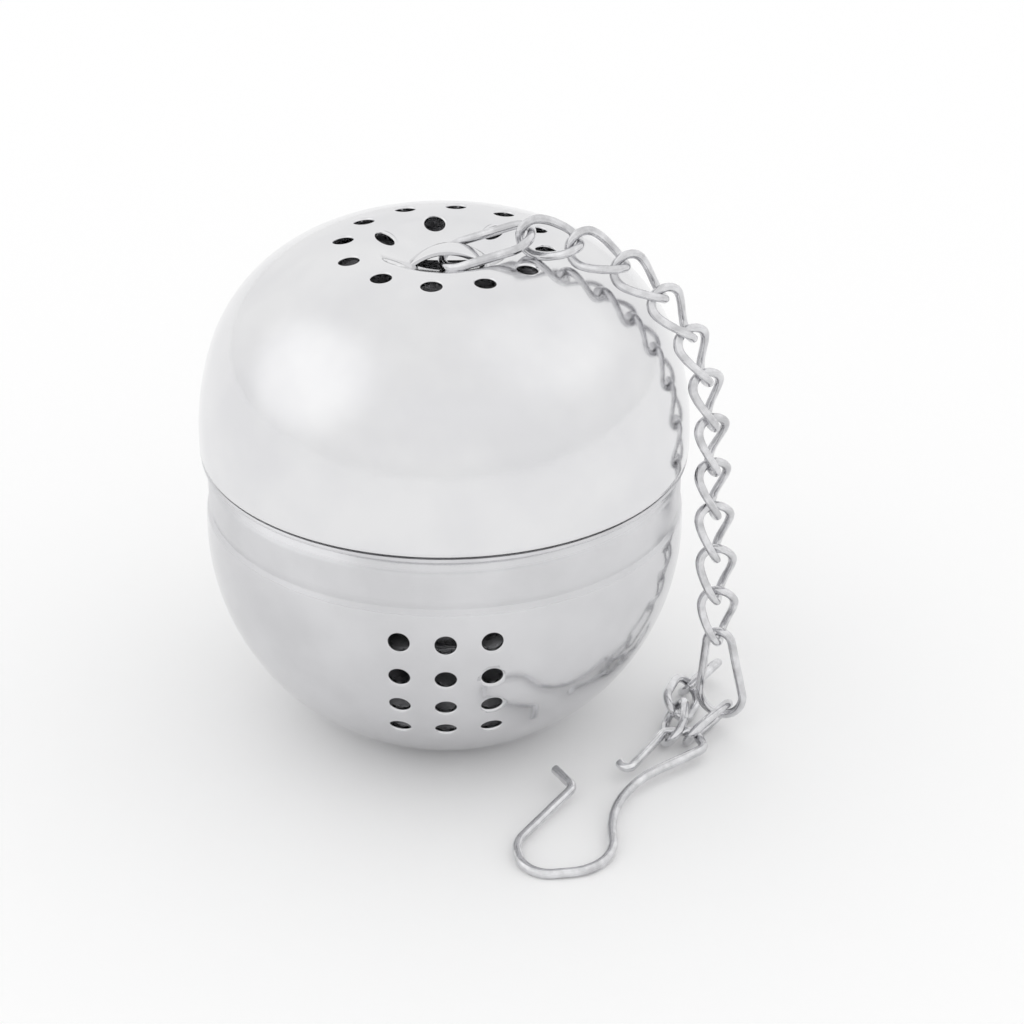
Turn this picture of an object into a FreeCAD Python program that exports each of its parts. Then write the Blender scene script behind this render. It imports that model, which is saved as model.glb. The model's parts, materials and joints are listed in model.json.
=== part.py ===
"""Tea infuser: a perforated ball in two screwed halves, with a chain and a wire hook.

Millimetres, +Z up.  The origin is the centre of the flat foot that the bowl stands on.
Every piece is a solid in its own file, in the place it has with the ball closed.
"""

import FreeCAD, Part
import math
import os

from FreeCAD import Matrix, Placement, Vector

# ---------------------------------------------------------------- driving dimensions
WALL = 0.45             # sheet of both shells
BALL_D = 40.6           # widest part of the ball, across the lid

FOOT_R = 7.6            # flat foot pressed into the bowl
BOWL_R = 20.0           # spherical part of the bowl
SHOULDER_Z = 20.2       # crease where the sphere meets the brushed band
BAND_R = 19.75          # brushed band below the lid
BAND_TOP_Z = 24.1
SEAT_RISE = 0.9         # sloping seat between the band and the neck
NECK_R = 19.0           # neck that goes up inside the lid
NECK_TOP_Z = 29.6
THREAD_CREST_R = 19.24
THREAD_RIDGE = 0.9      # height of a rolled thread ridge
THREAD_RIDGES_Z = (26.4, 28.1)

LID_EDGE_Z = 25.72      # lower edge of the lid's sheet
LID_SIDE_Z = 27.0       # straight side ends and the dome begins
LID_SIDE_R = 22.1       # radius of the dome's lower arc
LID_SIDE_TURN = 18.7    # degrees of the lower arc
LID_CROWN_R = 13.4      # radius of the dome's upper arc
DISH_LIP_R = 2.5        # rounding between the crown and the dish
DISH_SLOPE = 25.0       # steepest slope of the dish in the crown, degrees

COLLAR_Z = (25.1, 28.6)     # threaded collar pressed into the lid's mouth
COLLAR_R = (19.42, 19.74)
COLLAR_LIP_R = 20.24
COLLAR_LIP = 0.55

HOLE_D = 1.65
BOWL_HOLE_ROWS = 4
BOWL_HOLE_COLUMNS = 3
BOWL_HOLE_PITCH_X = 3.70
BOWL_HOLE_PITCH_V = 3.42
BOWL_HOLE_FIRST_V = -4.78
BOWL_HOLE_CENTRE_Z = 19.4
BOWL_HOLE_TILT = 19.0       # degrees below the horizon that the punch points
BOWL_HOLE_GROUPS = 3
CROWN_HOLES = 12
CROWN_HOLE_CIRCLE_R = 8.2
CROWN_HOLE_PHASE = -7.0
DISH_HOLE_CIRCLE_R = 5.1
DISH_HOLE_ANGLES = (38.5, 98.5, 158.5, 218.5)

DRAPE_AZ = -7.0         # the chain leaves the strap in this direction, degrees from +X
DRAPE_Y = -1.6          # and passes this far in front of the ball's axis
STRAP_AT = 0.6          # centre of the strap along the chain's line
STRAP_LENGTH = 7.4
STRAP_WIDTH = 2.0
STRAP_SHEET = 0.4
STRAP_FEET_Z = 41.95
STRAP_CREST_Z = 43.7
STRAP_SLOT_GAP = 0.35   # room between the strap and the sheet beside it

WIRE_D = 0.74           # wire of every link
LINK_PLAY = 0.08        # room between the wires of two joined links
LINK_PITCH = 4.06
LINK_WIDTH = 3.6
CHAIN_LINKS = 11
LINK_ROLL = 45.0        # neighbouring links lean this far either way
END_LINK_WIDTH = 4.2
TOP_LINK_ROLL = -15.0
TOP_LINK_REACH = 0.16   # its far turn stands this much further out
LOW_LINK_ROLL = 107.5
CHAIN_LIFT = 1.7        # chain's centre line above the lid
CHAIN_LEAN = 4.5        # the hanging run leans out by this many degrees
TOP_LINK_START = (-0.15, 42.42)    # along the chain's line, height
LOW_LINK_FOOT = Vector(23.7, -5.17, 1.95)

HOOK_LINK_ENDS = (Vector(23.92, -4.85, 1.72), Vector(20.87, -8.71, 1.64))
HOOK_LINK_ROLL = 60.0
SPARE_JOINTS = (
    Vector(19.34, -8.75, 1.72),
    Vector(19.82, -4.52, 1.56),
    Vector(21.27, -0.87, 1.51),
    Vector(23.52, 2.4, 1.5),
)
SPARE_ROLLS = (-55.7, 46.2, -47.8)

HOOK_WIRE_D = 0.8
HOOK_REST_Y = -26.4     # the bend of the hook rests on the table here
HOOK_SLOPE = 3.75       # degrees by which the hook rises towards its eye
HOOK_CORNERS = (        # x, y, radius of the bend
    (9.06, -13.0, 0.0),
    (10.53, -15.47, 0.93),
    (5.45, -22.75, 2.93),
    (6.32, -26.69, 2.42),
    (13.61, -25.82, 3.9),
    (13.1, -16.38, 9.9),
    (21.9, -10.3, 1.0),
    (21.2, -8.0, 0.8),
    (18.6, -8.0, 0.9),
    (15.1, -13.4, 0.5),
    (14.5, -12.2, 0.0),
)

# ---------------------------------------------------------------- derived dimensions
LID_R = BALL_D / 2.0
BOWL_CENTRE_Z = math.sqrt(BOWL_R ** 2 - FOOT_R ** 2)
SEAT_TOP_Z = BAND_TOP_Z + SEAT_RISE
WIRE_STEP = (WIRE_D + LINK_PLAY) / 2.0
LINK_TURN_R = (LINK_WIDTH - WIRE_D) / 2.0
END_LINK_TURN_R = (END_LINK_WIDTH - WIRE_D) / 2.0
CROWN_CENTRE_U = LID_R - LID_SIDE_R + (LID_SIDE_R - LID_CROWN_R) * math.cos(math.radians(LID_SIDE_TURN))
CROWN_CENTRE_Z = LID_SIDE_Z + (LID_SIDE_R - LID_CROWN_R) * math.sin(math.radians(LID_SIDE_TURN))
CROWN_TOP_Z = CROWN_CENTRE_Z + LID_CROWN_R
UP = Vector(0, 0, 1)
ORIGIN = Vector(0, 0, 0)


def unit(vector):
    """The vector at length one."""
    return vector * (1.0 / vector.Length)


def polar(centre_r, centre_z, radius, degrees):
    """A point on an arc in the half plane of a turned outline."""
    angle = math.radians(degrees)
    return Vector(centre_r + radius * math.cos(angle), 0, centre_z + radius * math.sin(angle))


def flat_point(radius, height):
    """A point in the half plane of a turned outline."""
    return Vector(radius, 0, height)


def turned(edges):
    """The solid that a closed outline in the XZ plane makes about the Z axis."""
    face = Part.Face(Part.Wire(edges))
    return face.revolve(ORIGIN, UP, 360)


def line(start, end):
    """A straight edge."""
    return Part.LineSegment(start, end).toShape()


def chain_of_lines(points):
    """Straight edges through the points."""
    return [line(start, end) for start, end in zip(points, points[1:])]


def arc(start, middle, end):
    """A round edge."""
    return Part.Arc(start, middle, end).toShape()


def drape_frame():
    """Origin, direction along the chain's line and direction across it."""
    angle = math.radians(DRAPE_AZ)
    along = Vector(math.cos(angle), math.sin(angle), 0)
    across = Vector(-math.sin(angle), math.cos(angle), 0)
    return Vector(0, DRAPE_Y, 0), along, across


def drape_point(along_line, height):
    """A point in the upright plane that the chain hangs in."""
    origin, along, _ = drape_frame()
    return origin + along * along_line + UP * height


def set_in_place(shape, origin, x_axis, y_axis):
    """A copy of the shape with its own X and Y axes turned to these directions."""
    x_axis = unit(x_axis)
    z_axis = unit(x_axis.cross(y_axis))
    y_axis = z_axis.cross(x_axis)
    matrix = Matrix(
        x_axis.x, y_axis.x, z_axis.x, origin.x,
        x_axis.y, y_axis.y, z_axis.y, origin.y,
        x_axis.z, y_axis.z, z_axis.z, origin.z,
        0, 0, 0, 1,
    )
    copy = shape.copy()
    copy.Placement = Placement(matrix).multiply(copy.Placement)
    return copy


# ---------------------------------------------------------------- bowl
def thread_profile(inner_wall):
    """Neck outline from the seat up to the lip, with its rolled ridges."""
    radius = NECK_R - (WALL if inner_wall else 0)
    crest = THREAD_CREST_R - (WALL if inner_wall else 0)
    edges = []
    at = flat_point(radius, SEAT_TOP_Z)
    for ridge_z in THREAD_RIDGES_Z:
        low = flat_point(radius, ridge_z - THREAD_RIDGE / 2)
        high = flat_point(radius, ridge_z + THREAD_RIDGE / 2)
        edges.append(line(at, low))
        edges.append(arc(low, flat_point(crest, ridge_z), high))
        at = high
    edges.append(line(at, flat_point(radius, NECK_TOP_Z)))
    return edges


def bowl_wall(inner_wall):
    """Bowl outline from the axis up to the lip, outside or inside the sheet."""
    inset = WALL if inner_wall else 0
    sphere_r = BOWL_R - inset
    foot = flat_point(math.sqrt(sphere_r ** 2 - (BOWL_CENTRE_Z - inset) ** 2), inset)
    shoulder_r = math.sqrt(sphere_r ** 2 - (SHOULDER_Z - BOWL_CENTRE_Z) ** 2)
    shoulder = flat_point(shoulder_r, SHOULDER_Z)
    middle = polar(0, BOWL_CENTRE_Z, sphere_r, -30)
    step = flat_point(BAND_R - inset, SHOULDER_Z + (shoulder_r - BAND_R + inset))
    band_top = flat_point(BAND_R - inset, BAND_TOP_Z)
    seat_top = flat_point(NECK_R - inset, SEAT_TOP_Z)
    edges = [line(flat_point(0, inset), foot), arc(foot, middle, shoulder)]
    edges += chain_of_lines([shoulder, step, band_top, seat_top])
    return edges + thread_profile(inner_wall)


def bowl_punches():
    """Round punches for the groups of holes in the bowl's side."""
    tilt = math.radians(BOWL_HOLE_TILT)
    outward = Vector(0, -math.cos(tilt), -math.sin(tilt))
    downward = Vector(0, math.sin(tilt), -math.cos(tilt))
    punches = []
    for row in range(BOWL_HOLE_ROWS):
        for column in range(BOWL_HOLE_COLUMNS):
            sideways = (column - (BOWL_HOLE_COLUMNS - 1) / 2.0) * BOWL_HOLE_PITCH_X
            start = Vector(sideways, 0, BOWL_HOLE_CENTRE_Z)
            start += downward * (BOWL_HOLE_FIRST_V + row * BOWL_HOLE_PITCH_V)
            start += outward * (BOWL_R / 2)
            for group in range(BOWL_HOLE_GROUPS):
                punch = Part.makeCylinder(HOLE_D / 2, BOWL_R, start, outward)
                punch.rotate(ORIGIN, UP, 360.0 * group / BOWL_HOLE_GROUPS)
                punches.append(punch)
    return punches


def bowl():
    """Lower half: flat foot, perforated sphere, brushed band, seat and threaded neck."""
    outside = bowl_wall(False)
    inside = bowl_wall(True)
    lip = line(flat_point(NECK_R, NECK_TOP_Z), flat_point(NECK_R - WALL, NECK_TOP_Z))
    axis = line(flat_point(0, WALL), ORIGIN)
    shell = turned(outside + [lip] + inside[::-1] + [axis])
    return shell.cut(Part.makeCompound(bowl_punches())).Solids[0]


# ---------------------------------------------------------------- lid
def lid_wall(inner_wall):
    """Lid outline from its edge up and over to the axis, outside or inside the sheet."""
    inset = WALL if inner_wall else 0
    side_turn = LID_SIDE_TURN
    edge = flat_point(LID_R - inset, LID_EDGE_Z)
    side = flat_point(LID_R - inset, LID_SIDE_Z)
    side_arc = (LID_R - LID_SIDE_R, LID_SIDE_Z, LID_SIDE_R - inset)
    crown_arc = (CROWN_CENTRE_U, CROWN_CENTRE_Z, LID_CROWN_R - inset)
    lip_arc = (CROWN_CENTRE_U, CROWN_TOP_Z - DISH_LIP_R, DISH_LIP_R - inset)
    dish_start = polar(*lip_arc, 90 + DISH_SLOPE)
    dish_r = (CROWN_CENTRE_U - DISH_LIP_R * math.sin(math.radians(DISH_SLOPE))) / math.sin(
        math.radians(DISH_SLOPE)
    )
    dish_centre_z = dish_height(0) + dish_r
    dish_arc = (0, dish_centre_z, dish_r + inset)
    return [
        line(edge, side),
        arc(side, polar(*side_arc, side_turn / 2), polar(*side_arc, side_turn)),
        arc(polar(*crown_arc, side_turn), polar(*crown_arc, 45 + side_turn / 2), polar(*crown_arc, 90)),
        arc(polar(*lip_arc, 90), polar(*lip_arc, 90 + DISH_SLOPE / 2), dish_start),
        arc(dish_start, polar(*dish_arc, 270 + DISH_SLOPE / 2), polar(*dish_arc, 270)),
    ]


def dish_height(radius):
    """Height of the dish's outer face at a distance from the axis."""
    slope = math.radians(DISH_SLOPE)
    rim_r = CROWN_CENTRE_U - DISH_LIP_R * math.sin(slope)
    rim_z = CROWN_TOP_Z - DISH_LIP_R * (1 - math.cos(slope))
    dish_r = rim_r / math.sin(slope)
    centre_z = rim_z + dish_r * math.cos(slope)
    return centre_z - math.sqrt(dish_r ** 2 - radius ** 2)


def crown_punches():
    """Round punches for the ring of holes in the crown and the holes in its dish."""
    spots = []
    for index in range(CROWN_HOLES):
        spots.append((CROWN_HOLE_CIRCLE_R, CROWN_HOLE_PHASE + 360.0 * index / CROWN_HOLES))
    for angle in DISH_HOLE_ANGLES:
        spots.append((DISH_HOLE_CIRCLE_R, angle))
    punches = []
    for radius, degrees in spots:
        angle = math.radians(degrees)
        start = Vector(radius * math.cos(angle), radius * math.sin(angle), LID_SIDE_Z)
        punches.append(Part.makeCylinder(HOLE_D / 2, CROWN_TOP_Z, start, UP))
    return punches


def strap():
    """Lanced strap that holds the first link: an arched strip across the dish."""
    half = STRAP_LENGTH / 2
    rise = STRAP_CREST_Z - STRAP_FEET_Z
    outer_r = (half ** 2 + rise ** 2) / (2 * rise)
    centre_z = STRAP_CREST_Z - outer_r
    outer = Part.makeCylinder(outer_r, STRAP_WIDTH, Vector(0, -STRAP_WIDTH / 2, centre_z), Vector(0, 1, 0))
    inner = Part.makeCylinder(
        outer_r - STRAP_SHEET, STRAP_WIDTH, Vector(0, -STRAP_WIDTH / 2, centre_z), Vector(0, 1, 0)
    )
    keep = Part.makeBox(
        STRAP_LENGTH, STRAP_WIDTH, 2 * rise, Vector(-half, -STRAP_WIDTH / 2, STRAP_FEET_Z - WALL / 2)
    )
    return outer.cut(inner).common(keep)


def strap_opening():
    """The slot that is left in the dish where the strap is lifted out."""
    half = STRAP_LENGTH / 2 - STRAP_SHEET
    width = STRAP_WIDTH + 2 * STRAP_SLOT_GAP
    return Part.makeBox(2 * half, width, LID_CROWN_R, Vector(-half, -width / 2, CROWN_CENTRE_Z + 2 * WALL))


def lid():
    """Upper half: domed sheet with a dished crown, its holes and the strap."""
    outside = lid_wall(False)
    inside = lid_wall(True)
    foot = line(flat_point(LID_R - WALL, LID_EDGE_Z), flat_point(LID_R, LID_EDGE_Z))
    axis = line(flat_point(0, dish_height(0)), flat_point(0, dish_height(0) - WALL))
    shell = turned([foot] + outside + [axis] + inside[::-1])
    _, along, across = drape_frame()
    at = drape_point(STRAP_AT, 0)
    opening = set_in_place(strap_opening(), at, along, across)
    shell = shell.cut(Part.makeCompound(crown_punches() + [opening]))
    return shell.fuse(set_in_place(strap(), at, along, across)).removeSplitter().Solids[0]


def collar():
    """Threaded collar in the lid's mouth, with the lip that shows under the lid's edge."""
    inner, outer = COLLAR_R
    bottom, top = COLLAR_Z
    corners = [
        flat_point(inner, bottom),
        flat_point(COLLAR_LIP_R, bottom),
        flat_point(COLLAR_LIP_R, bottom + COLLAR_LIP),
        flat_point(outer, bottom + COLLAR_LIP),
        flat_point(outer, top),
        flat_point(inner, top),
        flat_point(inner, bottom),
    ]
    return turned(chain_of_lines(corners))


# ---------------------------------------------------------------- chain
def oval_link(straight, turn_r):
    """A closed wire link in its own XY plane: two straight arms and two round turns."""
    wire_r = WIRE_D / 2
    solids = []
    for side in (-1, 1):
        start = Vector(-straight / 2, side * turn_r, 0)
        solids.append(Part.makeCylinder(wire_r, straight, start, Vector(1, 0, 0)))
        turn = Part.makeTorus(turn_r, wire_r, ORIGIN, UP, 0, 360, 180)
        turn.rotate(ORIGIN, UP, -90 * side)
        turn.translate(Vector(side * straight / 2, 0, 0))
        solids.append(turn)
    return solids[0].multiFuse(solids[1:]).removeSplitter().Solids[0]


def link_between(start, end, roll, turn_r, reference):
    """A link that joins its neighbours at the two points.

    Its wire stands WIRE_STEP beyond each point.  Roll turns the link about its own
    length, from the reference direction.
    """
    along = unit(end - start)
    side = unit(reference - along * reference.dot(along))
    normal = along.cross(side)
    angle = math.radians(roll)
    across = side * math.cos(angle) + normal * math.sin(angle)
    straight = (end - start).Length + 2 * WIRE_STEP - 2 * turn_r
    return set_in_place(oval_link(straight, turn_r), (start + end) * 0.5, along, across)


def floor_link(start, end, roll):
    """A link that lies at the foot of the chain, rolled from the level."""
    return link_between(start, end, roll, LINK_TURN_R, UP.cross(end - start))


def drape_path(distance):
    """Chain's centre line over the lid and down: a point at a distance along it."""
    side_turn = math.radians(LID_SIDE_TURN)
    crown_r = LID_CROWN_R + CHAIN_LIFT
    side_r = LID_SIDE_R + CHAIN_LIFT
    crown_length = crown_r * (math.pi / 2 - side_turn)
    side_length = side_r * side_turn
    if distance < crown_length:
        angle = math.pi / 2 - distance / crown_r
        return drape_point(
            CROWN_CENTRE_U + crown_r * math.cos(angle), CROWN_CENTRE_Z + crown_r * math.sin(angle)
        )
    distance -= crown_length
    if distance < side_length:
        angle = side_turn - distance / side_r
        return drape_point(
            LID_R - LID_SIDE_R + side_r * math.cos(angle), LID_SIDE_Z + side_r * math.sin(angle)
        )
    distance -= side_length
    lean = math.radians(CHAIN_LEAN)
    return drape_point(LID_R + CHAIN_LIFT + distance * math.sin(lean), LID_SIDE_Z - distance * math.cos(lean))


def chain_joints():
    """Points where the links meet, from the top link's far end to the low link's near end."""
    return [drape_path(index * LINK_PITCH) for index in range(CHAIN_LINKS + 1)]


def chain_nodes():
    """Every link, by name: the top link, the chain, the low link, the hook's link and the spares."""
    _, _, across = drape_frame()
    joints = chain_joints()
    strap_end = drape_point(*TOP_LINK_START)
    direction = unit(joints[0] - strap_end)
    nodes = {
        "top_link": link_between(
            strap_end + direction * WIRE_STEP, joints[0] + direction * TOP_LINK_REACH,
            TOP_LINK_ROLL, END_LINK_TURN_R, across
        ),
        "low_link": link_between(joints[-1], LOW_LINK_FOOT, LOW_LINK_ROLL, END_LINK_TURN_R, across),
        "hook_link": floor_link(*HOOK_LINK_ENDS, HOOK_LINK_ROLL),
    }
    for index, (start, end) in enumerate(zip(joints, joints[1:])):
        roll = LINK_ROLL if index % 2 == 0 else -LINK_ROLL
        name = "chain_link_%02d" % (index + 1)
        nodes[name] = link_between(start, end, roll, LINK_TURN_R, across)
    for index, roll in enumerate(SPARE_ROLLS):
        nodes["spare_link_%d" % (index + 1)] = floor_link(*SPARE_JOINTS[index:index + 2], roll)
    return nodes


# ---------------------------------------------------------------- hook
def rounded_path(corners):
    """Straight edges through the corners, joined by tangent arcs of each corner's radius."""
    edges = []
    at = Vector(corners[0][0], corners[0][1], 0)
    for before, corner, after in zip(corners, corners[1:], corners[2:]):
        point = Vector(corner[0], corner[1], 0)
        incoming = unit(point - Vector(before[0], before[1], 0))
        outgoing = unit(Vector(after[0], after[1], 0) - point)
        turn = incoming.getAngle(outgoing)
        radius = corner[2]
        reach = radius * math.tan(turn / 2)
        start = point - incoming * reach
        end = point + outgoing * reach
        inward = unit(outgoing - incoming)
        middle = point + inward * (radius / math.cos(turn / 2) - radius)
        edges.append(line(at, start))
        edges.append(arc(start, middle, end))
        at = end
    edges.append(line(at, Vector(corners[-1][0], corners[-1][1], 0)))
    return edges


def hook():
    """Hook bent from one wire: tip, round bend, shank, eye and turned-up tail."""
    path = Part.Wire(rounded_path(HOOK_CORNERS))
    start = path.Edges[0].firstVertex().Point
    tangent = path.Edges[0].tangentAt(path.Edges[0].FirstParameter)
    profile = Part.Wire(Part.Circle(start, tangent, HOOK_WIRE_D / 2).toShape())
    wire = path.makePipeShell([profile], True, False)
    ends = [Vector(x, y, 0) for x, y, _ in (HOOK_CORNERS[0], HOOK_CORNERS[-1])]
    balls = [Part.makeSphere(HOOK_WIRE_D / 2, end) for end in ends]
    solid = wire.multiFuse(balls).Solids[0]
    hinge = Vector(0, HOOK_REST_Y, 0)
    solid.rotate(hinge, Vector(1, 0, 0), HOOK_SLOPE)
    solid.translate(UP * (HOOK_WIRE_D / 2 / math.cos(math.radians(HOOK_SLOPE))))
    return solid


def main():
    """Build every node and write its file."""
    nodes = {"bowl": bowl(), "lid": lid(), "threaded_collar": collar(), "hook": hook()}
    nodes.update(chain_nodes())
    os.makedirs("parts", exist_ok=True)
    for name, shape in sorted(nodes.items()):
        shape.exportStep("parts/%s.step" % name)


main()
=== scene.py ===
"""Tea infuser: the looks of a perforated steel ball with a chain and a wire hook.

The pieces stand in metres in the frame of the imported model.  Sizes are written in
millimetres and turned to metres by MM; angles are degrees unless made radians here.
"""

import json
import math

import bmesh
import bpy
from mathutils import Matrix, Vector
from mathutils.bvhtree import BVHTree


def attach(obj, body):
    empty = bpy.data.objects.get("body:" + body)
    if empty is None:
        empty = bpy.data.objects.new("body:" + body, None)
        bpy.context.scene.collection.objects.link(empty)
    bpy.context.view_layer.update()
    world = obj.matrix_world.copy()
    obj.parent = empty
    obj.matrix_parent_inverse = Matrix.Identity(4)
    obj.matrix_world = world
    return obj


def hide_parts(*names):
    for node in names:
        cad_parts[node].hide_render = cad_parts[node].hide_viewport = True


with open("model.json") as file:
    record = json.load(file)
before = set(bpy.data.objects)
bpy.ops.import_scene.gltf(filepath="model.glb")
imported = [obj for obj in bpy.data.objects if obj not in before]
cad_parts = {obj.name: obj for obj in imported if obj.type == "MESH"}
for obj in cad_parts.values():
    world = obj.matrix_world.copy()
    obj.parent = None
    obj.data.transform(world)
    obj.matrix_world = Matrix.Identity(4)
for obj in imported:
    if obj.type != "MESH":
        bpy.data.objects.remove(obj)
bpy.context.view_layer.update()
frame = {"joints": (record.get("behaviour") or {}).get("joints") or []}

MM = 0.001
JOINTS = {joint["name"]: joint for joint in frame["joints"]}

# ---------------------------------------------------------------- sizes, millimetres
WALL = 0.45
TURNS = 256                 # facets round a spun shell
CREASE = math.radians(40.0)  # sharper edges are shaded as edges
MERGE = 1e-4                # points closer than this are one
EASE = 0.1                  # small step that softens a corner of an outline
ON_WALL = 0.02              # a point this near a radius stands on it
FOOT_R = 7.6
BOWL_R = 20.0
BOWL_CENTRE_Z = math.sqrt(BOWL_R ** 2 - FOOT_R ** 2)
SHOULDER_Z = 20.2
BAND_R = 19.75
BAND_TOP_Z = 24.1
BAND_ROUND = 0.5
SHOULDER_STEPS = (          # out from the band, up from the shoulder: a soft ledge and a fine groove
    (0.15, 0.10),
    (0.09, 0.24),
    (0.03, 0.40),
    (-0.03, 0.52),
    (-0.04, 0.58),
    (0.0, 0.66),
)
NECK_R = 19.0
SEAT_TOP_Z = 25.0
SEAT_EDGE = (0.12, 0.06)    # out from the neck, down from the seat's top
NECK_TOP_Z = 29.6
THREAD_DEPTH = 0.24
THREAD_PITCH = 1.9
THREAD_SHARPNESS = 1.3
THREAD_FADE = 2.5           # per mm, where the ridge runs out
THREAD_FROM_Z = 25.5
THREAD_TO_Z = 29.2

LID_R = 20.3
LID_EDGE_Z = 25.72
LID_EDGE_ROUND = (0.05, 0.12)   # in, up
LID_BAND_WIDTH = 0.2        # brushed strip along the edge
LID_SIDE_Z = 27.0
LID_SIDE_R = 22.1
LID_SIDE_TURN = 18.7
LID_CROWN_R = 13.4
DISH_LIP_R = 2.5
DISH_SLOPE = 25.0

COLLAR_INNER_R = 19.42
COLLAR_OUTER_R = 19.74
COLLAR_LIP_R = 20.24
COLLAR_LIP = 0.42
COLLAR_Z = (25.1, 28.6)
COLLAR_THREAD_DEPTH = -0.1  # inwards, towards the neck
COLLAR_THREAD_PHASE = 0.5   # half a turn on, so it lies between the neck's ridges

HOLE_R = 0.82
HOLE_LIP = 0.22             # rounding left by the punch
HOLE_FACETS = 40
PUNCH_OUT = 0.8             # how far the punch stands out of the sheet, and goes in
PUNCH_IN = 0.9
BOWL_HOLE_COLUMNS = (-3.7, 0.0, 3.7)
BOWL_HOLE_ROWS = (-4.78, -1.36, 2.06, 5.48)
BOWL_HOLE_CENTRE_Z = 19.4
BOWL_HOLE_TILT = math.radians(19.0)
BOWL_HOLE_GROUPS = 3
CROWN_HOLES = 12
CROWN_HOLE_CIRCLE_R = 8.2
CROWN_HOLE_PHASE = -7.0
DISH_HOLE_CIRCLE_R = 5.1
DISH_HOLE_ANGLES = (38.5, 98.5, 158.5, 218.5)

DRAPE_AZ = math.radians(-7.0)
DRAPE_Y = -1.6
STRAP_AT = 0.6
STRAP_LENGTH = 7.4
STRAP_WIDTH = 2.0
STRAP_SHEET = 0.4
STRAP_FEET_Z = 41.75
STRAP_CREST_Z = 43.68
STRAP_TAPER = 0.28          # share of its width lost at the feet
STRAP_CROWN = 0.12          # rise of its middle line over its sides
STRAP_EDGE = 0.09
SLOT_LENGTH = 6.7
SLOT_WIDTH = 2.9
SLOT_FACETS = 48
SLOT_DEPTH = 4.0

WIRE_R = 0.37
WIRE_FACETS = 16
LINK_PLAY = 0.08
WIRE_STEP = WIRE_R + LINK_PLAY / 2
LINK_TURN_R = 1.43
LINK_RUN_STEPS = 10
LINK_BEND_STEPS = 18
LINK_TWIST = 45             # a chain link turns by this to each side of its mean roll
LINK_TWIST_EASE = 0.3       # 0 twists evenly, 1 leaves the ends flat
TOP_LINK_TURN_R = 1.73
WIRE_MERGE = 1e-3
WIRE_END_ROUND = 0.12
HOOK_WIRE_R = 0.4
HOOK_BEND_STEP = 7.0
HOOK_REST_Y = -26.4
HOOK_SLOPE = math.radians(3.75)
HOOK_CORNERS = (            # x, y, radius of the bend
    (9.06, -13.0, 0.0),
    (10.53, -15.47, 0.93),
    (5.45, -22.75, 2.93),
    (6.32, -26.69, 2.42),
    (13.61, -25.82, 3.9),
    (13.1, -16.38, 9.9),
    (21.9, -10.3, 1.0),
    (21.2, -8.0, 0.8),
    (18.6, -8.0, 0.9),
    (15.1, -13.4, 0.5),
    (14.5, -12.2, 0.0),
)
TOP_LINK_START = (-0.15, 42.42)
TOP_LINK_REACH = 0.16
TOP_LINK_ROLL = 14
LOW_LINK_ROLL = 107.5
LOW_LINK_TOP_R = 1.15
LOW_LINK_FOOT_R = 1.95
LOW_LINK_FOOT = Vector((23.7, -5.17, 1.95))
HOOK_LINK_ROLL = 60
HOOK_LINK_ENDS = (Vector((23.92, -4.85, 1.72)), Vector((20.87, -8.71, 1.64)))
SPARE_JOINTS = (
    Vector((19.34, -8.75, 1.72)),
    Vector((19.82, -4.52, 1.56)),
    Vector((21.27, -0.87, 1.51)),
    Vector((23.52, 2.4, 1.5)),
)
SPARE_ROLLS = (-55.7, 46.2, -47.8)
CHAIN_ROLLS = (50, 38, 28, 22, 20, 20, 20, 25, 38, 48, 52)   # from the lid down

TONE_STOPS = (0.35, 0.65)   # where a two-colour drift starts and ends
TENT_TONES = (              # height, white
    (0.0, 0.93),
    (0.12, 0.97),
    (0.3, 0.97),
    (0.6, 1.0),
    (1.0, 0.96),
)
TENT_LAMPS = (              # direction, reach in degrees, power
    ((-0.84, -0.09, 0.53), 42.0, 0.18),
    ((0.585, 0.04, 0.81), 42.0, 0.08),
)
FLOOR_SIZE = 3.0            # metres
CAMERA_PLACE = Vector((0, -194.935, 125.381))
CAMERA_AXES = (             # right, up, back
    Vector((0.99967, -0.02419, 0.00877)),
    Vector((0.00393, 0.48037, 0.87706)),
    Vector((-0.02543, -0.87673, 0.48030)),
)
CAMERA_LENS = 92.35
CAMERA_SENSOR = 36

UP = Vector((0, 0, 1))
ALONG = Vector((math.cos(DRAPE_AZ), math.sin(DRAPE_AZ), 0))
ACROSS = Vector((-math.sin(DRAPE_AZ), math.cos(DRAPE_AZ), 0))


# ---------------------------------------------------------------- colours and nodes
def linear(text):
    """sRGB hex to a linear colour."""
    channels = [int(text[at:at + 2], 16) / 255 for at in (1, 3, 5)]
    return [c / 12.92 if c <= 0.04045 else ((c + 0.055) / 1.055) ** 2.4 for c in channels] + [1.0]


def add(tree, kind, settings=(), links=()):
    """A node with its settings: a name sets a property, a socket's name or number its value."""
    node = tree.nodes.new(kind)
    for key, value in dict(settings).items():
        if isinstance(key, str) and hasattr(node, key):
            setattr(node, key, value)
        else:
            node.inputs[key].default_value = value
    for key, socket in dict(links).items():
        tree.links.new(socket, node.inputs[key])
    return node


def new_material(name):
    """An empty node material and the shader that its finish is built on."""
    material = bpy.data.materials.new(name)
    material.use_nodes = True
    tree = material.node_tree
    tree.nodes.clear()
    shader = add(tree, "ShaderNodeBsdfPrincipled", {"Metallic": 1.0})
    add(tree, "ShaderNodeOutputMaterial", {}, {"Surface": shader.outputs["BSDF"]})
    return material, tree, shader


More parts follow.
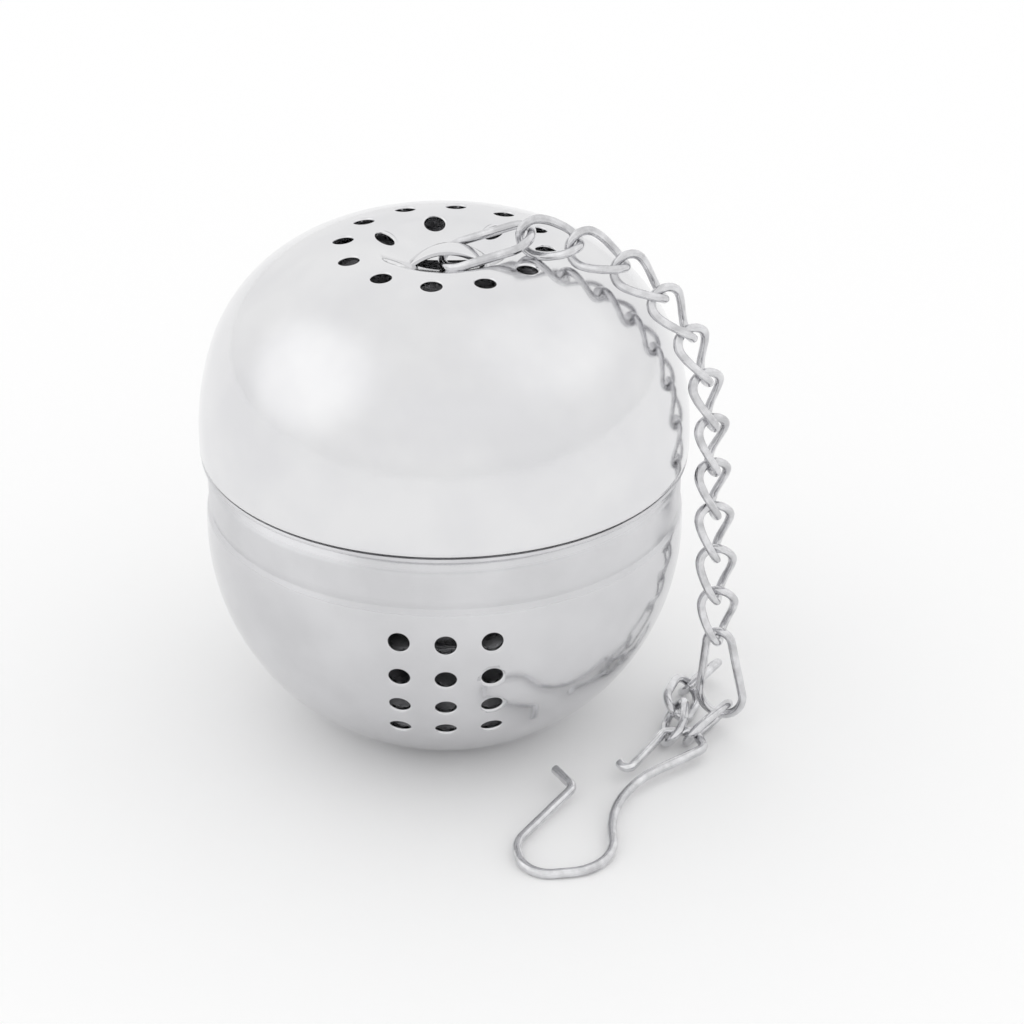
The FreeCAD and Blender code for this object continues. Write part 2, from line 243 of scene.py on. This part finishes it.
def millimetres(tree, scale=(1.0, 1.0, 1.0)):
    """Object coordinates counted in millimetres, stretched by the scale."""
    place = add(tree, "ShaderNodeTexCoord")
    sized = add(tree, "ShaderNodeMapping", {}, {"Vector": place.outputs["Object"]})
    sized.inputs["Scale"].default_value = [s / MM for s in scale]
    return sized.outputs["Vector"]


def paint_two_tone(tree, shader, factor, colours):
    """Let the base colour drift between two colours as the factor does."""
    tone = add(tree, "ShaderNodeValToRGB", {}, {"Fac": factor})
    for stop, position, colour in zip(tone.color_ramp.elements, TONE_STOPS, colours):
        stop.position = position
        stop.color = linear(colour)
    tree.links.new(tone.outputs["Color"], shader.inputs["Base Color"])


# ---------------------------------------------------------------- materials
def polished_sheet(name, colours, band):
    """Stainless steel sheet, deep drawn and buffed.

    To the eye: a mirror that is a little soft, with the slow ripple of pressed sheet,
    cloudy buffing marks and a fine orange peel.  The band between two heights is left
    with its circular brushing, which is duller.
    """
    material, tree, shader = new_material(name)
    place = millimetres(tree)
    cloud = add(tree, "ShaderNodeTexNoise", {"Scale": 0.14, "Detail": 4.0}, {"Vector": place})
    paint_two_tone(tree, shader, cloud.outputs["Fac"], colours)
    buffing = add(tree, "ShaderNodeTexNoise", {"Scale": 0.5, "Detail": 6.0}, {"Vector": place})
    soft = add(tree, "ShaderNodeMapRange",
               {"From Min": 0.3, "From Max": 0.7, "To Min": 0.10, "To Max": 0.17},
               {"Value": buffing.outputs["Fac"]})
    hair = add(tree, "ShaderNodeTexNoise", {"Scale": 1.0, "Detail": 2.0},
               {"Vector": millimetres(tree, (0.25, 0.25, 9.0))})
    heights = add(tree, "ShaderNodeSeparateXYZ", {}, {"Vector": place})
    above = add(tree, "ShaderNodeMapRange", {"From Min": band[0] - 0.15, "From Max": band[0] + 0.25},
                {"Value": heights.outputs["Z"]})
    below = add(tree, "ShaderNodeMapRange",
                {"From Min": band[1] - 0.1, "From Max": band[1] + 0.1, "To Min": 1.0, "To Max": 0.0},
                {"Value": heights.outputs["Z"]})
    inside = add(tree, "ShaderNodeMath", {"operation": "MULTIPLY"},
                 {0: above.outputs["Result"], 1: below.outputs["Result"]})
    rough = add(tree, "ShaderNodeMath", {"operation": "MULTIPLY_ADD", 1: 0.20},
                {0: inside.outputs["Value"], 2: soft.outputs["Result"]})
    tree.links.new(rough.outputs["Value"], shader.inputs["Roughness"])
    ripple = add(tree, "ShaderNodeTexNoise", {"Scale": 0.22, "Detail": 2.0}, {"Vector": place})
    slow = add(tree, "ShaderNodeBump", {"Strength": 1.0, "Distance": 0.02 * MM},
               {"Height": ripple.outputs["Fac"]})
    peel = add(tree, "ShaderNodeTexNoise", {"Scale": 1.6, "Detail": 3.0}, {"Vector": place})
    grain = add(tree, "ShaderNodeBump", {"Strength": 1.0, "Distance": 0.0020 * MM},
                {"Height": peel.outputs["Fac"], "Normal": slow.outputs["Normal"]})
    brushed = add(tree, "ShaderNodeBump", {"Distance": 0.008 * MM},
                  {"Height": hair.outputs["Fac"], "Normal": grain.outputs["Normal"],
                   "Strength": inside.outputs["Value"]})
    tree.links.new(brushed.outputs["Normal"], shader.inputs["Normal"])
    return material


def drawn_wire(name, colours, roughness):
    """Stainless steel wire, drawn and tumbled.

    To the eye: bright along its back and greyer at its sides, with faint rubbed patches
    and small tumbling marks.
    """
    material, tree, shader = new_material(name)
    place = millimetres(tree)
    rubbed = add(tree, "ShaderNodeTexNoise", {"Scale": 0.9, "Detail": 4.0}, {"Vector": place})
    paint_two_tone(tree, shader, rubbed.outputs["Fac"], colours)
    soft = add(tree, "ShaderNodeMapRange",
               {"From Min": 0.3, "From Max": 0.7, "To Min": roughness[0], "To Max": roughness[1]},
               {"Value": rubbed.outputs["Fac"]})
    tree.links.new(soft.outputs["Result"], shader.inputs["Roughness"])
    marks = add(tree, "ShaderNodeTexNoise", {"Scale": 5.0, "Detail": 3.0}, {"Vector": place})
    dull = add(tree, "ShaderNodeBump", {"Strength": 1.0, "Distance": 0.0008 * MM},
               {"Height": marks.outputs["Fac"]})
    tree.links.new(dull.outputs["Normal"], shader.inputs["Normal"])
    return material


# ---------------------------------------------------------------- mesh helpers
def hand_over(bm, name, body, nodes, material):
    """Turn the bmesh, in millimetres, into a finished piece that rides on a body."""
    bmesh.ops.scale(bm, vec=(MM, MM, MM), verts=bm.verts)
    mesh = bpy.data.meshes.new(name)
    bm.to_mesh(mesh)
    bm.free()
    mesh.polygons.foreach_set("use_smooth", [True] * len(mesh.polygons))
    mesh.set_sharp_from_angle(angle=CREASE)
    mesh.materials.append(material)
    piece = bpy.data.objects.new(name, mesh)
    bpy.context.scene.collection.objects.link(piece)
    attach(piece, body)
    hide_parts(*nodes)


def pour_into(target, bm, name):
    """Move everything in one bmesh into another."""
    part = bpy.data.meshes.new(name)
    bm.to_mesh(part)
    bm.free()
    target.from_mesh(part)
    bpy.data.meshes.remove(part)


def tip_of(grown):
    """The vertex at the growing end of a drawn outline."""
    return [item for item in grown if isinstance(item, bmesh.types.BMVert)][0]


def draw_line(bm, tip, end, steps=1):
    """Draw a straight edge from the tip to a point (radius, height)."""
    move = (Vector((end[0], 0, end[1])) - tip.co) / steps
    grown = bmesh.ops.spin(bm, geom=[tip], cent=tip.co, axis=(0, -1, 0), angle=0, dvec=move, steps=steps)
    return tip_of(grown["geom_last"])


def draw_arc(bm, tip, centre, degrees, steps):
    """Draw an arc from the tip about a centre (radius, height)."""
    grown = bmesh.ops.spin(bm, geom=[tip], cent=(centre[0], 0, centre[1]), axis=(0, -1, 0),
                           angle=math.radians(degrees), steps=steps)
    return tip_of(grown["geom_last"])


def spin_round(bm, facets=TURNS):
    """Turn the drawn outline once about the Z axis and close it."""
    bmesh.ops.spin(bm, geom=bm.verts[:] + bm.edges[:], cent=(0, 0, 0), axis=(0, 0, 1),
                   angle=2 * math.pi, steps=facets, use_merge=True)
    bmesh.ops.remove_doubles(bm, verts=bm.verts, dist=MERGE)
    bmesh.ops.recalc_face_normals(bm, faces=bm.faces)


def thicken(bm):
    """Give the spun surface the sheet's thickness, inwards."""
    bmesh.ops.solidify(bm, geom=bm.faces, thickness=WALL)
    bmesh.ops.recalc_face_normals(bm, faces=bm.faces)


def carve(bm, cutter_bm):
    """Cut the cutter's volume out of the mesh."""
    host_mesh = bpy.data.meshes.new("host")
    bm.to_mesh(host_mesh)
    host = bpy.data.objects.new("host", host_mesh)
    tool_mesh = bpy.data.meshes.new("tool")
    cutter_bm.to_mesh(tool_mesh)
    tool = bpy.data.objects.new("tool", tool_mesh)
    for item in (host, tool):
        bpy.context.scene.collection.objects.link(item)
    cut = host.modifiers.new("cut", "BOOLEAN")
    cut.object = tool
    cut.solver = "EXACT"
    graph = bpy.context.evaluated_depsgraph_get()
    result = bpy.data.meshes.new_from_object(host.evaluated_get(graph))
    bm.clear()
    bm.from_mesh(result)
    cutter_bm.free()
    for item in (host, tool):
        bpy.data.objects.remove(item)
    for mesh in (host_mesh, tool_mesh, result):
        bpy.data.meshes.remove(mesh)


def add_punch(cutter, point, normal):
    """One punch that leaves a rounded lip outside and a small chamfer inside."""
    bm = bmesh.new()
    tip = bm.verts.new((0, 0, PUNCH_OUT))
    tip = draw_line(bm, tip, (HOLE_R + HOLE_LIP, PUNCH_OUT))
    tip = draw_line(bm, tip, (HOLE_R + HOLE_LIP, 0.0))
    tip = draw_arc(bm, tip, (HOLE_R + HOLE_LIP, -HOLE_LIP), 90, 5)
    tip = draw_line(bm, tip, (HOLE_R, -0.8 * WALL))
    tip = draw_line(bm, tip, (HOLE_R + EASE, -1.02 * WALL))
    tip = draw_line(bm, tip, (HOLE_R + EASE, -PUNCH_IN))
    draw_line(bm, tip, (0, -PUNCH_IN))
    spin_round(bm, HOLE_FACETS)
    turn = normal.to_track_quat("Z", "Y").to_matrix().to_4x4()
    bmesh.ops.transform(bm, matrix=Matrix.Translation(point) @ turn, verts=bm.verts)
    pour_into(cutter, bm, "punch")


def roll_thread(bm, root_r, depth, phase):
    """Raise a rolled helical ridge on the wall that stands at the root radius."""
    for vert in bm.verts:
        radius = math.hypot(vert.co.x, vert.co.y)
        if abs(radius - root_r) > ON_WALL or not THREAD_FROM_Z < vert.co.z < THREAD_TO_Z:
            continue
        angle = math.atan2(vert.co.y, vert.co.x)
        turn = (vert.co.z - THREAD_FROM_Z) / THREAD_PITCH - angle / (2 * math.pi) + phase
        ridge = max(0.0, math.cos(2 * math.pi * turn)) ** THREAD_SHARPNESS
        to_end = min(vert.co.z - THREAD_FROM_Z, THREAD_TO_Z - vert.co.z)
        fade = min(1.0, THREAD_FADE * to_end)
        grown = (radius + depth * ridge * fade) / radius
        vert.co.x *= grown
        vert.co.y *= grown


# ---------------------------------------------------------------- bowl
def bowl_hole_spots(tree):
    """Points and normals on the bowl where its holes are punched."""
    outward = Vector((0, -math.cos(BOWL_HOLE_TILT), -math.sin(BOWL_HOLE_TILT)))
    downward = Vector((0, math.sin(BOWL_HOLE_TILT), -math.cos(BOWL_HOLE_TILT)))
    for group in range(BOWL_HOLE_GROUPS):
        turn = Matrix.Rotation(2 * math.pi * group / BOWL_HOLE_GROUPS, 3, "Z")
        for row in BOWL_HOLE_ROWS:
            for column in BOWL_HOLE_COLUMNS:
                inside = Vector((column, 0, BOWL_HOLE_CENTRE_Z)) + downward * row
                point, normal, _, _ = tree.ray_cast(turn @ (inside + outward * 2 * BOWL_R),
                                                    turn @ -outward)
                yield point, normal


def make_bowl(material):
    """Foot, sphere, shoulder, band, seat and threaded neck, with punched holes."""
    bm = bmesh.new()
    foot_turn = math.degrees(math.asin(FOOT_R / BOWL_R))
    shoulder_turn = math.degrees(math.asin((SHOULDER_Z - BOWL_CENTRE_Z) / BOWL_R))
    tip = bm.verts.new((0, 0, 0))
    tip = draw_line(bm, tip, (FOOT_R, 0), 3)
    tip = draw_arc(bm, tip, (0, BOWL_CENTRE_Z), 90 - foot_turn + shoulder_turn, 64)
    for step_in, step_up in SHOULDER_STEPS:
        tip = draw_line(bm, tip, (BAND_R + step_in, SHOULDER_Z + step_up))
    tip = draw_line(bm, tip, (BAND_R, BAND_TOP_Z - BAND_ROUND), 4)
    tip = draw_arc(bm, tip, (BAND_R - BAND_ROUND, BAND_TOP_Z - BAND_ROUND), 50, 8)
    tip = draw_line(bm, tip, (NECK_R + SEAT_EDGE[0], SEAT_TOP_Z - SEAT_EDGE[1]))
    tip = draw_line(bm, tip, (NECK_R, SEAT_TOP_Z + EASE))
    tip = draw_line(bm, tip, (NECK_R, THREAD_FROM_Z - EASE))
    tip = draw_line(bm, tip, (NECK_R, THREAD_TO_Z + EASE), 26)
    draw_line(bm, tip, (NECK_R, NECK_TOP_Z))
    spin_round(bm)
    roll_thread(bm, NECK_R, THREAD_DEPTH, 0.0)
    spots = list(bowl_hole_spots(BVHTree.FromBMesh(bm)))
    thicken(bm)
    punches = bmesh.new()
    for point, normal in spots:
        add_punch(punches, point, normal)
    carve(bm, punches)
    hand_over(bm, "bowl_shell", "bowl", ["bowl"], material)


# ---------------------------------------------------------------- lid
def crown_hole_spots(tree):
    """Points and normals on the lid where its holes are punched."""
    spots = [(CROWN_HOLE_CIRCLE_R, CROWN_HOLE_PHASE + 360 * index / CROWN_HOLES)
             for index in range(CROWN_HOLES)]
    spots += [(DISH_HOLE_CIRCLE_R, angle) for angle in DISH_HOLE_ANGLES]
    for radius, degrees in spots:
        angle = math.radians(degrees)
        above = Vector((radius * math.cos(angle), radius * math.sin(angle), 2 * LID_SIDE_Z))
        point, normal, _, _ = tree.ray_cast(above, -UP)
        yield point, normal


def strap_place():
    """The strap's own frame: X along the chain's line, Z up."""
    turn = Matrix.Rotation(DRAPE_AZ, 4, "Z")
    return Matrix.Translation(Vector((0, DRAPE_Y, 0)) + ALONG * STRAP_AT) @ turn


def add_strap(bm):
    """The strip lanced out of the dish: arched, a little narrower at its feet."""
    strap = bmesh.new()
    bmesh.ops.create_grid(strap, x_segments=28, y_segments=6, size=0.5)
    for vert in strap.verts:
        reach = 2 * vert.co.x
        width = STRAP_WIDTH * (1 - STRAP_TAPER * reach ** 2)
        rise = (STRAP_CREST_Z - STRAP_FEET_Z) * (1 - reach ** 2) ** 0.9
        sag = STRAP_CROWN * (2 * vert.co.y) ** 2
        vert.co = (STRAP_LENGTH * vert.co.x, width * vert.co.y, STRAP_FEET_Z + rise - sag)
    bmesh.ops.recalc_face_normals(strap, faces=strap.faces)
    if sum(face.normal.z for face in strap.faces) < 0:
        bmesh.ops.reverse_faces(strap, faces=strap.faces)
    bmesh.ops.solidify(strap, geom=strap.faces, thickness=STRAP_SHEET)
    bmesh.ops.recalc_face_normals(strap, faces=strap.faces)
    sides = [edge for edge in strap.edges if edge.calc_face_angle(0) > math.radians(50)]
    bmesh.ops.bevel(strap, geom=sides, offset=STRAP_EDGE, segments=2, affect="EDGES", profile=0.5,
                    material=-1)
    bmesh.ops.transform(strap, matrix=strap_place(), verts=strap.verts)
    pour_into(bm, strap, "strap")


def add_slot(cutter):
    """The oval opening that the strap was lifted out of."""
    slot = bmesh.new()
    bmesh.ops.create_cone(slot, cap_ends=True, segments=SLOT_FACETS, radius1=0.5, radius2=0.5,
                          depth=SLOT_DEPTH)
    bmesh.ops.scale(slot, vec=(SLOT_LENGTH, SLOT_WIDTH, 1), verts=slot.verts)
    bmesh.ops.translate(slot, vec=(0, 0, STRAP_FEET_Z), verts=slot.verts)
    bmesh.ops.transform(slot, matrix=strap_place(), verts=slot.verts)
    pour_into(cutter, slot, "slot")


def make_lid(material):
    """Domed sheet with a dished crown, its holes, its slot and its strap."""
    side_turn = math.radians(LID_SIDE_TURN)
    crown_centre = (LID_R - LID_SIDE_R + (LID_SIDE_R - LID_CROWN_R) * math.cos(side_turn),
                    LID_SIDE_Z + (LID_SIDE_R - LID_CROWN_R) * math.sin(side_turn))
    lip_centre = (crown_centre[0], crown_centre[1] + LID_CROWN_R - DISH_LIP_R)
    slope = math.radians(DISH_SLOPE)
    dish_r = (lip_centre[0] - DISH_LIP_R * math.sin(slope)) / math.sin(slope)
    dish_centre_z = lip_centre[1] + (DISH_LIP_R + dish_r) * math.cos(slope)
    bm = bmesh.new()
    tip = bm.verts.new((LID_R - LID_EDGE_ROUND[0], 0, LID_EDGE_Z))
    tip = draw_line(bm, tip, (LID_R, LID_EDGE_Z + LID_EDGE_ROUND[1]))
    tip = draw_line(bm, tip, (LID_R, LID_SIDE_Z), 4)
    tip = draw_arc(bm, tip, (LID_R - LID_SIDE_R, LID_SIDE_Z), LID_SIDE_TURN, 24)
    tip = draw_arc(bm, tip, crown_centre, 90 - LID_SIDE_TURN, 60)
    tip = draw_arc(bm, tip, lip_centre, DISH_SLOPE, 8)
    draw_arc(bm, tip, (0, dish_centre_z), -DISH_SLOPE, 14)
    spin_round(bm)
    spots = list(crown_hole_spots(BVHTree.FromBMesh(bm)))
    thicken(bm)
    cutter = bmesh.new()
    for point, normal in spots:
        add_punch(cutter, point, normal)
    add_slot(cutter)
    carve(bm, cutter)
    add_strap(bm)
    hand_over(bm, "lid_shell", "lid", ["lid"], material)


def make_collar(material):
    """Rolled ring in the lid's mouth; its round lip shows under the lid's edge."""
    bottom, top = COLLAR_Z
    lip_r = COLLAR_LIP / 2
    bm = bmesh.new()
    first = bm.verts.new((COLLAR_INNER_R, 0, bottom))
    tip = draw_line(bm, first, (COLLAR_LIP_R - lip_r, bottom))
    tip = draw_arc(bm, tip, (COLLAR_LIP_R - lip_r, bottom + lip_r), 180, 10)
    tip = draw_line(bm, tip, (COLLAR_OUTER_R, bottom + COLLAR_LIP))
    tip = draw_line(bm, tip, (COLLAR_OUTER_R, top))
    tip = draw_line(bm, tip, (COLLAR_INNER_R, top))
    draw_line(bm, tip, (COLLAR_INNER_R, bottom), 24)
    bmesh.ops.remove_doubles(bm, verts=bm.verts, dist=MERGE)
    spin_round(bm)
    roll_thread(bm, COLLAR_INNER_R, COLLAR_THREAD_DEPTH, COLLAR_THREAD_PHASE)
    hand_over(bm, "collar_ring", "collar", ["threaded_collar"], material)


# ---------------------------------------------------------------- wire
def wire_ring(bm, radius, matrix):
    """The round section of a wire, as a ring of edges."""
    made = bmesh.ops.create_circle(bm, segments=WIRE_FACETS, radius=radius, matrix=matrix)
    return made["verts"] + sorted({edge for vert in made["verts"] for edge in vert.link_edges},
                                  key=lambda edge: edge.index)


def grow_run(bm, ring, move, steps=1):
    """Push the ring along a straight run."""
    step = Vector(move) / steps
    return bmesh.ops.spin(bm, geom=ring, cent=(0, 0, 0), axis=(0, 0, 1), angle=0, dvec=step,
                          steps=steps)["geom_last"]


def grow_bend(bm, ring, centre, axis, degrees, steps):
    """Swing the ring round a bend."""
    return bmesh.ops.spin(bm, geom=ring, cent=centre, axis=axis, angle=math.radians(degrees),
                          steps=steps)["geom_last"]


def link_mesh(reach, turn_r, end_turn_r, start_roll, end_roll):
    """A closed wire link along X, centred on the origin, with its twist spread along it."""
    bm = bmesh.new()
    start_x = -reach / 2 + turn_r
    end_x = reach / 2 - end_turn_r
    across_x = Matrix.Rotation(math.pi / 2, 4, "Y")
    ring = wire_ring(bm, WIRE_R, Matrix.Translation((start_x, turn_r, 0)) @ across_x)
    ring = grow_run(bm, ring, (end_x - start_x, end_turn_r - turn_r, 0), LINK_RUN_STEPS)
    ring = grow_bend(bm, ring, (end_x, 0, 0), (0, 0, -1), 180, LINK_BEND_STEPS)
    ring = grow_run(bm, ring, (start_x - end_x, end_turn_r - turn_r, 0), LINK_RUN_STEPS)
    grow_bend(bm, ring, (start_x, 0, 0), (0, 0, -1), 180, LINK_BEND_STEPS)
    bmesh.ops.remove_doubles(bm, verts=bm.verts, dist=WIRE_MERGE)
    bmesh.ops.recalc_face_normals(bm, faces=bm.faces)
    for vert in bm.verts:
        share = min(1.0, max(0.0, vert.co.x / reach + 0.5))
        eased = share - LINK_TWIST_EASE * math.sin(math.tau * share) / math.tau
        roll = start_roll + (end_roll - start_roll) * eased
        vert.co = Matrix.Rotation(math.radians(roll), 3, "X") @ vert.co
    return bm


def link_place(start, end, reference):
    """The matrix that lays a link along its two joints."""
    along = (end - start).normalized()
    side = (reference - along * reference.dot(along)).normalized()
    normal = along.cross(side)
    middle = (start + end) / 2
    return Matrix.Translation(middle) @ Matrix((along, side, normal)).transposed().to_4x4()


def make_link(node, start, end, reference, rolls, material, turn_r=LINK_TURN_R, end_turn_r=None):
    """One link of the chain between two joints; the wire stands a step beyond each."""
    reach = (end - start).length + 2 * WIRE_STEP
    bm = link_mesh(reach, turn_r, end_turn_r or turn_r, *rolls)
    bmesh.ops.transform(bm, matrix=link_place(start, end, reference), verts=bm.verts)
    hand_over(bm, node + "_wire", node, [node], material)


def joint_point(name):
    """A joint's place in millimetres."""
    return Vector(JOINTS[name]["pos_m"]) / MM


def make_chain(material):
    """Every link, from the strap to the table."""
    names = ["chain_link_%02d" % (index + 1) for index in range(len(CHAIN_ROLLS))]
    points = [joint_point(name + "_swing") for name in names + ["low_link"]]
    strap_end = Vector((0, DRAPE_Y, 0)) + ALONG * TOP_LINK_START[0] + UP * TOP_LINK_START[1]
    ahead = (points[0] - strap_end).normalized()
    make_link("top_link", strap_end + ahead * WIRE_STEP, points[0] + ahead * TOP_LINK_REACH, ACROSS,
              (TOP_LINK_ROLL, TOP_LINK_ROLL), material, TOP_LINK_TURN_R)
    for name, start, end, roll in zip(names, points, points[1:], CHAIN_ROLLS):
        make_link(name, start, end, ACROSS, (roll + LINK_TWIST, roll - LINK_TWIST), material)
    make_link("low_link", points[-1], LOW_LINK_FOOT, ACROSS, (LOW_LINK_ROLL, LOW_LINK_ROLL), material,
              LOW_LINK_TOP_R, LOW_LINK_FOOT_R)
    first, last = HOOK_LINK_ENDS
    make_link("hook_link", first, last, UP.cross(last - first), (HOOK_LINK_ROLL, HOOK_LINK_ROLL),
              material)
    for index, roll in enumerate(SPARE_ROLLS):
        first, last = SPARE_JOINTS[index:index + 2]
        make_link("spare_link_%d" % (index + 1), first, last, UP.cross(last - first), (roll, roll),
                  material)


def make_hook(material):
    """One wire: cut tip, round bend, shank, closed eye and turned-up tail."""
    bm = bmesh.new()
    corners = [Vector((x, y, 0)) for x, y, _ in HOOK_CORNERS]
    heading = (corners[1] - corners[0]).normalized()
    ring = wire_ring(bm, HOOK_WIRE_R, Matrix.Translation(corners[0]) @ heading.to_track_quat(
        "Z", "Y").to_matrix().to_4x4())
    first_ring = ring
    at = corners[0]
    radii = [radius for _, _, radius in HOOK_CORNERS]
    for before, corner, after, radius in zip(corners, corners[1:], corners[2:], radii[1:]):
        incoming = (corner - before).normalized()
        outgoing = (after - corner).normalized()
        turn = incoming.angle(outgoing)
        axis = incoming.cross(outgoing).normalized()
        start = corner - incoming * radius * math.tan(turn / 2)
        centre = start + axis.cross(incoming) * radius
        ring = grow_run(bm, ring, start - at)
        degrees = math.degrees(turn)
        ring = grow_bend(bm, ring, centre, axis, degrees, max(4, round(degrees / HOOK_BEND_STEP)))
        at = corner + outgoing * radius * math.tan(turn / 2)
    ring = grow_run(bm, ring, corners[-1] - at, 2)
    for end_ring in (first_ring, ring):
        bmesh.ops.contextual_create(bm, geom=[item for item in end_ring
                                              if isinstance(item, bmesh.types.BMEdge)])
    bmesh.ops.remove_doubles(bm, verts=bm.verts, dist=WIRE_MERGE)
    bmesh.ops.recalc_face_normals(bm, faces=bm.faces)
    rims = [edge for edge in bm.edges if edge.calc_face_angle(0) > math.radians(60)]
    bmesh.ops.bevel(bm, geom=rims, offset=WIRE_END_ROUND, segments=3, affect="EDGES", profile=0.5,
                    material=-1)
    tilt = Matrix.Rotation(HOOK_SLOPE, 4, "X") @ Matrix.Translation((0, -HOOK_REST_Y, 0))
    rest = Matrix.Translation((0, HOOK_REST_Y, HOOK_WIRE_R / math.cos(HOOK_SLOPE)))
    bmesh.ops.transform(bm, matrix=rest @ tilt, verts=bm.verts)
    hand_over(bm, "hook_wire", "hook", ["hook"], material)


# ---------------------------------------------------------------- room
def make_floor():
    """Plain white table under the object."""
    bm = bmesh.new()
    bmesh.ops.create_grid(bm, x_segments=1, y_segments=1, size=FLOOR_SIZE)
    mesh = bpy.data.meshes.new("floor")
    bm.to_mesh(mesh)
    bm.free()
    floor = bpy.data.objects.new("floor", mesh)
    bpy.context.scene.collection.objects.link(floor)
    material, _, shader = new_material("matt_white_table")
    shader.inputs["Metallic"].default_value = 0.0
    shader.inputs["Base Color"].default_value = linear("#FDFDFD")
    shader.inputs["Roughness"].default_value = 0.9
    mesh.materials.append(material)


def make_world():
    """A white light tent: greyer at the horizon, with a soft lamp behind the cloth on each side."""
    world = bpy.data.worlds.new("light_tent")
    bpy.context.scene.world = world
    world.use_nodes = True
    tree = world.node_tree
    tree.nodes.clear()
    place = add(tree, "ShaderNodeTexCoord")
    split = add(tree, "ShaderNodeSeparateXYZ", {}, {"Vector": place.outputs["Generated"]})
    cloth = add(tree, "ShaderNodeValToRGB", {}, {"Fac": split.outputs["Z"]})
    stops = cloth.color_ramp.elements
    for _ in range(len(TENT_TONES) - 2):
        stops.new(0.5)
    for stop, (height, tone) in zip(stops, TENT_TONES):
        stop.position = height
        stop.color = (tone, tone, tone, 1.0)
    total = cloth.outputs["Color"]
    for direction, reach, power in TENT_LAMPS:
        facing = add(tree, "ShaderNodeVectorMath",
                     {"operation": "DOT_PRODUCT", 1: Vector(direction).normalized()},
                     {0: place.outputs["Generated"]})
        glow = add(tree, "ShaderNodeMapRange", {"interpolation_type": "SMOOTHERSTEP",
                                                "From Min": math.cos(math.radians(reach)),
                                                "From Max": 1.0, "To Max": power},
                   {"Value": facing.outputs["Value"]})
        joined = add(tree, "ShaderNodeVectorMath", {"operation": "ADD"},
                     {0: total, 1: glow.outputs["Result"]})
        total = joined.outputs["Vector"]
    light = add(tree, "ShaderNodeBackground", {"Strength": 1.0}, {"Color": total})
    add(tree, "ShaderNodeOutputWorld", {}, {"Surface": light.outputs["Background"]})


def make_camera():
    """Looks down a little from the front, close to the object."""
    data = bpy.data.cameras.new("camera")
    data.lens = CAMERA_LENS
    data.sensor_width = CAMERA_SENSOR
    data.clip_start = 0.01
    camera = bpy.data.objects.new("camera", data)
    turn = Matrix(CAMERA_AXES).transposed().to_4x4()
    camera.matrix_world = Matrix.Translation(CAMERA_PLACE * MM) @ turn
    bpy.context.scene.collection.objects.link(camera)
    bpy.context.scene.camera = camera


# ---------------------------------------------------------------- build
# The bowl is the same buffed steel as the lid, but its colours are darker: this is painted shade,
# standing in for the darker floor that its lower half reflects.
bowl_steel_painted_shade = polished_sheet("stainless_sheet_buffed_bowl_painted_shade", ("#CFCFD1", "#D8D8DA"),
                            (SHOULDER_Z, BAND_TOP_Z))
lid_steel = polished_sheet("stainless_sheet_buffed_lid", ("#DFDFE1", "#E6E6E7"),
                           (LID_EDGE_Z, LID_EDGE_Z + LID_BAND_WIDTH))
collar_steel = polished_sheet("stainless_strip_rolled", ("#C8C8CA", "#DCDCDE"), COLLAR_Z)
chain_steel = drawn_wire("stainless_wire_tumbled", ("#C4C4C6", "#E2E2E4"), (0.09, 0.19))
hook_steel = drawn_wire("stainless_wire_drawn", ("#C8C8CA", "#E4E4E6"), (0.10, 0.20))

make_bowl(bowl_steel_painted_shade)
make_lid(lid_steel)
make_collar(collar_steel)
make_chain(chain_steel)
make_hook(hook_steel)

make_floor()
make_world()
make_camera()
bpy.context.scene.view_settings.view_transform = "Standard"
